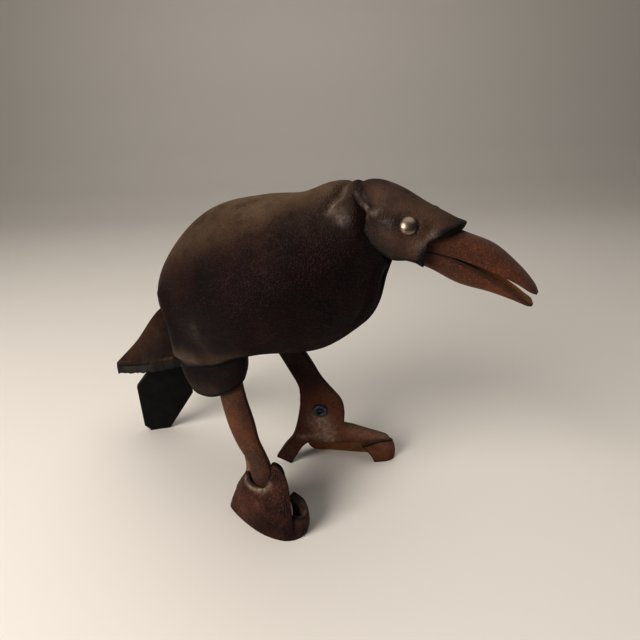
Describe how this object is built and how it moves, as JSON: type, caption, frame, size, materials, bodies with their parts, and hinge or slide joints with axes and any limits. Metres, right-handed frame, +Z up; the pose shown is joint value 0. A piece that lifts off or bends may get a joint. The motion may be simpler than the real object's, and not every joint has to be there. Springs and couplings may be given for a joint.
{
  "type": "leather raven figure",
  "caption": "Standing raven of moulded leather: hollow hide body and head, folded suede beak, riveted eyes, strap legs with moulded feet, and a tail that props it up.",
  "frame": {"origin": "middle of the bird's bounding box, at the level its feet and lower tail stand on", "axes": "+X the way the beak points, +Y the bird's left, +Z up"},
  "size_m": [0.2684, 0.105, 0.1836],
  "materials": {
    "hide": "moulded, satin, mottled dark brown",
    "beak_suede": "suede, matte, red-brown",
    "russet_suede": "suede, matte, russet",
    "foot_leather": "satin, mottled brown",
    "tail_leather": "satin, brown",
    "black_leather": "matte, dyed black",
    "antique_nickel": "polished, antiqued",
    "gunmetal": "dark plated, satin"
  },
  "bodies": {
    "root": {"hide": "hide", "beak": "beak_suede", "eye_rivet_right": "antique_nickel", "eye_rivet_left": "antique_nickel", "tail_upper": "tail_leather", "tail_lower": "black_leather", "leg_right": "russet_suede", "leg_left": "russet_suede", "foot_right": "foot_leather", "foot_left": "foot_leather", "ankle_eyelet_right": "gunmetal", "ankle_eyelet_left": "gunmetal"}
  },
  "joints": []
}
